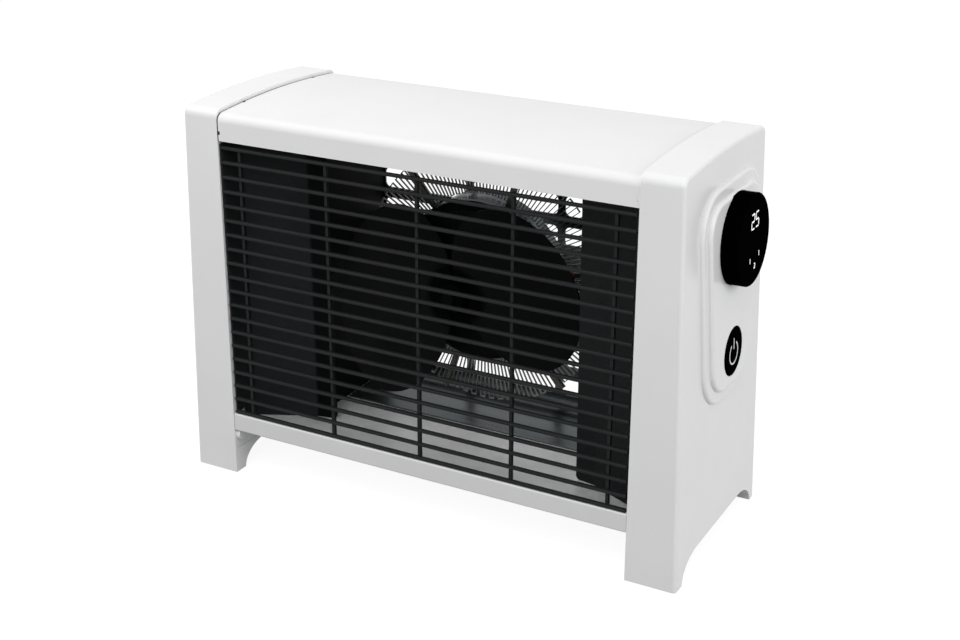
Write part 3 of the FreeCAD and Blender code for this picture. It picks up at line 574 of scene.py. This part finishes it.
def display_symbols():
    """Number on the display, and two bars and a curl as its signs."""
    light = display_light()
    step = digit_width + digit_gap
    left = -(digit_width + step) / 2
    numbers = digit(two, left) + digit(five, left + step)
    symbol("display_digits", numbers, "display_lens", light, "casing")
    half = Vector((0, sign_size / 2))
    signs = []
    for middle in (Vector(left_sign_place), Vector(right_sign_place)):
        signs.append(([middle - half, middle + half], sign_stroke))
    upper = arc(Vector(curl_place) + half / 2, sign_size / 4, *curl_upper, curl_steps)
    lower = arc(Vector(curl_place) - half / 2, sign_size / 4, *curl_lower, curl_steps)
    signs.append((upper[::-1] + lower[1:], sign_stroke))
    symbol("display_icons", signs, "display_lens", light, "casing")


def power_symbol():
    """Open ring on the button, with a bar in its gap."""
    centre = Vector((0, -power_drop))
    ring = arc(centre, power_radius, ring_top + power_gap, ring_top + full_turn - power_gap, power_steps)
    top = centre + Vector((0, power_radius))
    bar = [top - Vector((0, power_bar * bar_inside)), top + Vector((0, power_bar * (1 - bar_inside)))]
    strokes = [(ring, power_stroke), (bar, power_stroke)]
    symbol("power_mark", strokes, "power_button", symbol_print(), "button")


# Rear screws

def screw_middles(node):
    """Middle of the outer face of each screw of a node, whose heads look to the rear."""
    screws = []
    for vertex in nodes[node].data.vertices:
        near = [screw for screw in screws if (screw[0] - vertex.co).length < screw_reach]
        if near:
            near[0].append(vertex.co)
        else:
            screws.append([vertex.co])
    for corners in screws:
        low = Vector([min(places) for places in zip(*corners)])
        high = Vector([max(places) for places in zip(*corners)])
        yield Vector(((low.x + high.x) / 2, high.y, (low.z + high.z) / 2))


def screw_crosses():
    """Cross of painted shade on each head, in place of its recess, each turned a little farther than the one
    before.
    """
    mesh = bmesh.new()
    facing_rear = Matrix.Rotation(-math.pi / 2, 4, "X")
    for i, middle in enumerate(screw_middles("rear_screws")):
        turn = math.radians(cross_turn * i)
        one = Vector((math.cos(turn), math.sin(turn)))
        other = Vector((-one.y, one.x))
        before = len(mesh.verts)
        add_stroke(mesh, [one * -cross_half, one * cross_half], cross_stroke)
        for way in (other, -other):
            add_stroke(mesh, [way * cross_stroke / 2, way * cross_half], cross_stroke)
        place = Matrix.Translation(middle + Vector((0, print_lift, 0))) @ facing_rear
        bmesh.ops.transform(mesh, matrix=place, verts=list(mesh.verts)[before:])
    finished(mesh, "screw_crosses", recess_painted_shade(), "casing")


# Seams at the ends of the top cover, with painted shadow in the left one

def over_the_top(corners):
    """Outline of flat corners from the lowest in front over the top to the lowest at the rear."""
    ring = [corners[i] for i in convex_hull_2d(corners)]
    doubled_area = sum(a.x * b.y - a.y * b.x for a, b in zip(ring, ring[1:] + ring[:1]))
    if doubled_area > 0:
        ring.reverse()
    front = min((p for p in ring if p.x < 0), key=lambda p: p.y)
    rear = min((p for p in ring if p.x > 0), key=lambda p: p.y)
    first = ring.index(front)
    ring = ring[first:] + ring[:first]
    return ring[:ring.index(rear) + 1]


def finer(points):
    """The same line of points with short steps between them."""
    fine = []
    for a, b in zip(points, points[1:]):
        steps = max(1, round((b - a).length / seam_step))
        fine += [a.lerp(b, i / steps) for i in range(steps)]
    return fine + points[-1:]


def cover_outline(side):
    """Where the cover ends on one side, and its outline there from the fascia over the top to the rear."""
    corners = [vertex.co for vertex in nodes["top_cover"].data.vertices]
    end = max(corner.x * side for corner in corners)
    flat = [Vector((c.y, c.z)) for c in corners if end - c.x * side < end_tolerance]
    return end * side, finer(over_the_top(flat))


def add_band(mesh, points, end, side, span, sunk):
    """Band along an outline, over a span out from the cover's end and sunk under the cover's face."""
    x0, x1 = [end + side * away for away in span]
    rings = []
    for i, point in enumerate(points):
        along = heading(points, i)
        inward = Vector((along.y, -along.x))
        high = point + inward * sunk
        low = point + inward * (sunk + seam_thick)
        corners = ((x0, high), (x1, high), (x1, low), (x0, low))
        rings.append([mesh.verts.new((x, p.x, p.y)) for x, p in corners])
    join_rings(mesh, rings)


def left_seam_shadow():
    """Painted shadow in the open seam and its two clip notches on the left."""
    end, outline = cover_outline(-1)
    mesh = bmesh.new()
    add_band(mesh, outline, end, -1, seam_shadow_span, seam_shadow_sunk)
    for y in (-notch_y, notch_y):
        clip = [p for p in outline if abs(p.x - y) < notch_half]
        add_band(mesh, clip, end, -1, notch_fill, seam_shadow_sunk)
    finished(mesh, "left_seam_shadow", materials["black_plastic"], "casing")


def right_seam():
    """Closed seam and filled fascia notch on the right, in the cover's paint."""
    end, outline = cover_outline(1)
    mesh = bmesh.new()
    add_band(mesh, outline, end, 1, closed_seam, closed_sunk)
    clip = [p for p in outline if p.x < 0 and abs(p.y - notch_z) < notch_half]
    add_band(mesh, clip, end, 1, notch_fill, closed_sunk)
    finished(mesh, "right_seam", materials["white_paint"], "casing")


# Stage, light and camera

def seen_rays(tree):
    """1 for rays that reach the eye straight, by a mirror or through glass, and 0 for light on surfaces."""
    path = add(tree, "ShaderNodeLightPath")
    first = add(tree, "ShaderNodeMath", {"operation": "MAXIMUM"})
    second = add(tree, "ShaderNodeMath", {"operation": "MAXIMUM"})
    tree.links.new(path.outputs["Is Camera Ray"], first.inputs[0])
    tree.links.new(path.outputs["Is Glossy Ray"], first.inputs[1])
    tree.links.new(first.outputs["Value"], second.inputs[0])
    tree.links.new(path.outputs["Is Transmission Ray"], second.inputs[1])
    return second.outputs["Value"]


def floor_material():
    """Pale floor that is seen as white and keeps the object's shadow."""
    material = bpy.data.materials.new("floor")
    material.use_nodes = True
    tree = material.node_tree
    tree.nodes.remove(tree.nodes["Principled BSDF"])
    seen = seen_rays(tree)
    whole = (0.0, 1.0)
    matte = add(tree, "ShaderNodeBsdfDiffuse")
    lamp = add(tree, "ShaderNodeEmission")
    both = add(tree, "ShaderNodeAddShader")
    tree.links.new(between(tree, seen, floor_colour, floor_seen, whole), matte.inputs["Color"])
    tree.links.new(between(tree, seen, 0.0, floor_glow, whole), lamp.inputs["Strength"])
    tree.links.new(matte.outputs["BSDF"], both.inputs[0])
    tree.links.new(lamp.outputs["Emission"], both.inputs[1])
    tree.links.new(both.outputs["Shader"], tree.nodes["Material Output"].inputs["Surface"])
    return material


def make_floor():
    half = floor_size / 2
    corners = [(-half, -half, 0), (half, -half, 0), (half, half, 0), (-half, half, 0)]
    data = bpy.data.meshes.new("floor")
    data.from_pydata(corners, [], [(0, 1, 2, 3)])
    data.materials.append(floor_material())
    floor = bpy.data.objects.new("floor", data)
    bpy.context.scene.collection.objects.link(floor)


def make_world():
    """White wherever it is seen, and a softer level as light on surfaces."""
    world = bpy.data.worlds.new("studio")
    bpy.context.scene.world = world
    world.use_nodes = True
    tree = world.node_tree
    sky = tree.nodes["Background"]
    sky.inputs["Color"].default_value = rgba(grey(1.0))
    level = between(tree, seen_rays(tree), ambient, 1.0, edges=(0.0, 1.0))
    tree.links.new(level, sky.inputs["Strength"])


def make_lamp(name, power, size, place):
    """Square lamp that looks at the heater."""
    data = bpy.data.lights.new(name, "AREA")
    data.energy = power
    data.size = size
    lamp = bpy.data.objects.new(name, data)
    lamp.location = place
    direction = Vector(lamp_aim) - Vector(place)
    lamp.rotation_euler = direction.to_track_quat("-Z", "Y").to_euler()
    bpy.context.scene.collection.objects.link(lamp)


def make_camera():
    data = bpy.data.cameras.new("camera")
    data.sensor_fit = "HORIZONTAL"
    data.sensor_width = camera_sensor
    data.lens = camera_lens
    data.shift_x, data.shift_y = camera_shift
    camera = bpy.data.objects.new("camera", data)
    camera.location = camera_place
    camera.rotation_euler = (math.radians(90 - camera_elevation), 0, math.radians(camera_azimuth))
    bpy.context.scene.collection.objects.link(camera)
    bpy.context.scene.camera = camera


dress_nodes()
display_symbols()
power_symbol()
left_seam_shadow()
right_seam()
screw_crosses()
make_floor()
make_world()
make_lamp("key", key_power, key_size, key_place)
make_lamp("fill", fill_power, fill_size, fill_place)
make_lamp("front", front_power, front_size, front_place)
make_camera()
bpy.context.scene.view_settings.view_transform = "Standard"
